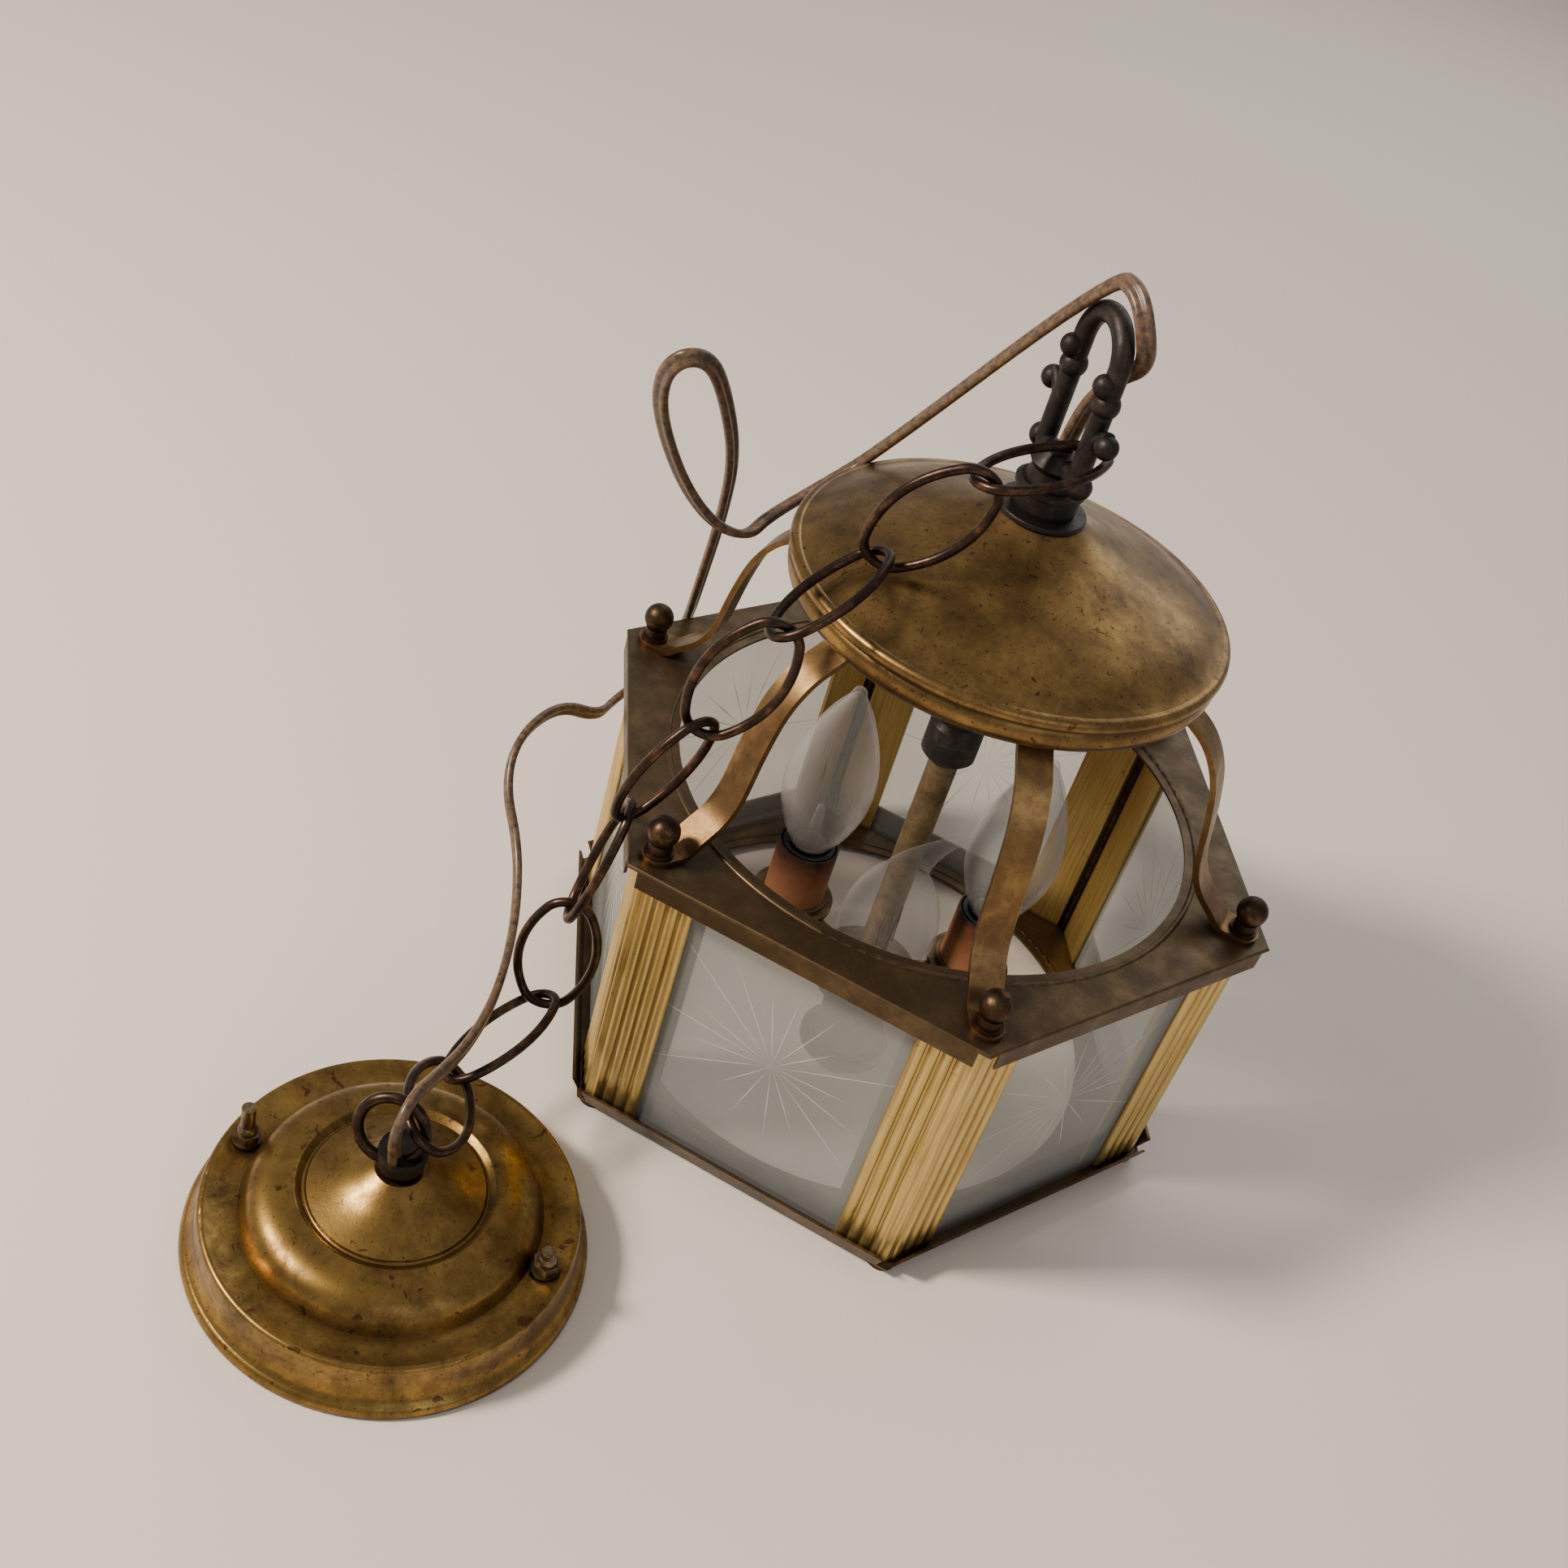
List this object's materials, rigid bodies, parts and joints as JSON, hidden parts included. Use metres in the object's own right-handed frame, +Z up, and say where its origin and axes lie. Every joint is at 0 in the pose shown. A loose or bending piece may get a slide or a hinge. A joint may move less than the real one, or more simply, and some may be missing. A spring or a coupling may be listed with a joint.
{
  "type": "hanging lantern",
  "caption": "Hexagonal hall lantern with cut-glass panes, strap crown, candle cluster, hanging chain, ceiling canopy and cord.",
  "frame": {"origin": "lantern's axis at the level of the undersides of the six corner-rod feet, where the lantern stands", "axes": "+Z up along the lantern's axis; +X towards a corner of the hexagon, so two flats face -Y and +Y"},
  "size_m": [0.2515, 0.3373, 0.2875],
  "materials": {
    "cut_glass": "wheel-cut clear glass, smoky grey-green",
    "brass_bright": "rolled brass, satin",
    "frame_brass": "pressed brass sheet with dark brown patina",
    "antique_brass": "antique brass, worn bright at the edges",
    "crown_brass": "spun brass, tarnished with dark specks",
    "dark_iron": "cast metal, blackened",
    "stem_metal": "dull brown patina",
    "tan_metal": "tan lacquer",
    "candle_card": "card tube, scorched at the top",
    "socket_black": "black moulded socket",
    "screw_shell": "rolled screw shell",
    "bulb_glass": "clear blown glass",
    "chain_metal": "dark bronzed wire with coppery rubs",
    "canopy_brass": "spun brass, blotched brown and pitted",
    "screw_steel": "dull plated steel",
    "cord_cover": "brown covered twin-wire cord"
  },
  "bodies": {
    "lantern": {"top_frame": "frame_brass", "bottom_frame": "frame_brass", "tie_rods": "antique_brass", "rod_feet": "antique_brass", "ball_nuts": "antique_brass", "glass_panel_1": "cut_glass", "glass_panel_2": "cut_glass", "glass_panel_3": "cut_glass", "glass_panel_4": "cut_glass", "glass_panel_5": "cut_glass", "glass_panel_6": "cut_glass", "reeded_strip_1": "brass_bright", "reeded_strip_2": "brass_bright", "reeded_strip_3": "brass_bright", "reeded_strip_4": "brass_bright", "reeded_strip_5": "brass_bright", "reeded_strip_6": "brass_bright", "inner_strips": "brass_bright", "strap_1": "antique_brass", "strap_2": "antique_brass", "strap_3": "antique_brass", "strap_4": "antique_brass", "strap_5": "antique_brass", "strap_6": "antique_brass", "crown_plate": "frame_brass", "strap_nuts": "frame_brass", "crown_cap": "crown_brass", "crown_band": "crown_brass", "loop_washer": "dark_iron", "loop_collar": "dark_iron", "cast_loop": "dark_iron", "stem_nipple": "stem_metal", "stem_coupling": "stem_metal", "center_stem": "stem_metal", "cluster_body": "stem_metal", "cluster_cap": "tan_metal", "candle_sleeve_1": "candle_card", "candle_sleeve_2": "candle_card", "candle_sleeve_3": "candle_card", "candle_sockets": "socket_black", "power_cord": "cord_cover"},
    "bulb_1": {"bulb_base_1": "screw_shell", "bulb_glass_1": "bulb_glass"},
    "bulb_2": {"bulb_base_2": "screw_shell", "bulb_glass_2": "bulb_glass"},
    "bulb_3": {"bulb_base_3": "screw_shell", "bulb_glass_3": "bulb_glass"},
    "link_1": {"chain_link_1": "chain_metal"},
    "link_2": {"chain_link_2": "chain_metal"},
    "link_3": {"chain_link_3": "chain_metal"},
    "link_4": {"chain_link_4": "chain_metal"},
    "link_5": {"chain_link_5": "chain_metal"},
    "link_6": {"chain_link_6": "chain_metal"},
    "link_7": {"chain_link_7": "chain_metal"},
    "link_8": {"chain_link_8": "chain_metal"},
    "link_9": {"chain_link_9": "chain_metal"},
    "canopy": {"canopy_shell": "canopy_brass", "canopy_loop": "canopy_brass", "canopy_collar": "canopy_brass", "canopy_screws": "screw_steel"}
  },
  "joints": [
    {"name": "chain_joint_1", "type": "hinge", "parent": "lantern", "child": "link_1", "pos_m": [0.0105, -0.0041, 0.24], "axis": [-0.6, 0.8, 0], "range_deg": [0, 8], "deforming": ["power_cord"]},
    {"name": "chain_joint_2", "type": "hinge", "parent": "link_1", "child": "link_2", "pos_m": [-0.0109, -0.041, 0.2348], "axis": [-0.8389, 0.51, -0.19], "range_deg": [0, 12], "deforming": ["power_cord"]},
    {"name": "chain_joint_3", "type": "hinge", "parent": "link_2", "child": "link_3", "pos_m": [-0.0309, -0.0418, 0.2041], "axis": [-0.7978, 0.3789, -0.4689], "range_deg": [0, 12], "deforming": ["power_cord"]},
    {"name": "chain_joint_4", "type": "hinge", "parent": "link_3", "child": "link_4", "pos_m": [-0.0398, -0.0785, 0.1923], "axis": [-0.6, 0.8, 0], "range_deg": [0, 12], "deforming": ["power_cord"]},
    {"name": "chain_joint_5", "type": "hinge", "parent": "link_4", "child": "link_5", "pos_m": [-0.0525, -0.0854, 0.1562], "axis": [-0.6, 0.8, 0], "range_deg": [0, 12], "deforming": ["power_cord"]},
    {"name": "chain_joint_6", "type": "hinge", "parent": "link_5", "child": "link_6", "pos_m": [-0.0657, -0.0914, 0.1202], "axis": [-0.3981, 0.9052, -0.149], "range_deg": [0, 12], "deforming": ["power_cord"]},
    {"name": "chain_joint_7", "type": "hinge", "parent": "link_6", "child": "link_7", "pos_m": [-0.0729, -0.1008, 0.0833], "axis": [-0.9195, -0.3898, 0.05], "range_deg": [0, 12], "deforming": ["power_cord"]},
    {"name": "chain_joint_8", "type": "hinge", "parent": "link_7", "child": "link_8", "pos_m": [-0.074, -0.1035, 0.0405], "axis": [-0.9195, -0.3898, 0.05], "range_deg": [0, 12], "deforming": ["power_cord"]},
    {"name": "chain_joint_9", "type": "hinge", "parent": "link_8", "child": "link_9", "pos_m": [-0.0811, -0.1431, 0.0363], "axis": [-0.8289, 0.23, -0.5099], "range_deg": [0, 12], "deforming": ["power_cord"]},
    {"name": "chain_joint_10", "type": "hinge", "parent": "link_9", "child": "canopy", "pos_m": [-0.0695, -0.1777, 0.0509], "axis": [0, 1, 0], "range_deg": [0, 10], "deforming": ["power_cord"]},
    {"name": "bulb_screw_1", "type": "hinge", "parent": "lantern", "child": "bulb_1", "pos_m": [-0.03665, 0.01334, 0.04], "axis": [0, 0, 1], "continuous": true},
    {"name": "bulb_screw_2", "type": "hinge", "parent": "lantern", "child": "bulb_2", "pos_m": [0.03031, 0.02454, 0.04], "axis": [0, 0, 1], "continuous": true},
    {"name": "bulb_screw_3", "type": "hinge", "parent": "lantern", "child": "bulb_3", "pos_m": [0.00811, -0.03815, 0.04], "axis": [0, 0, 1], "continuous": true}
  ]
}
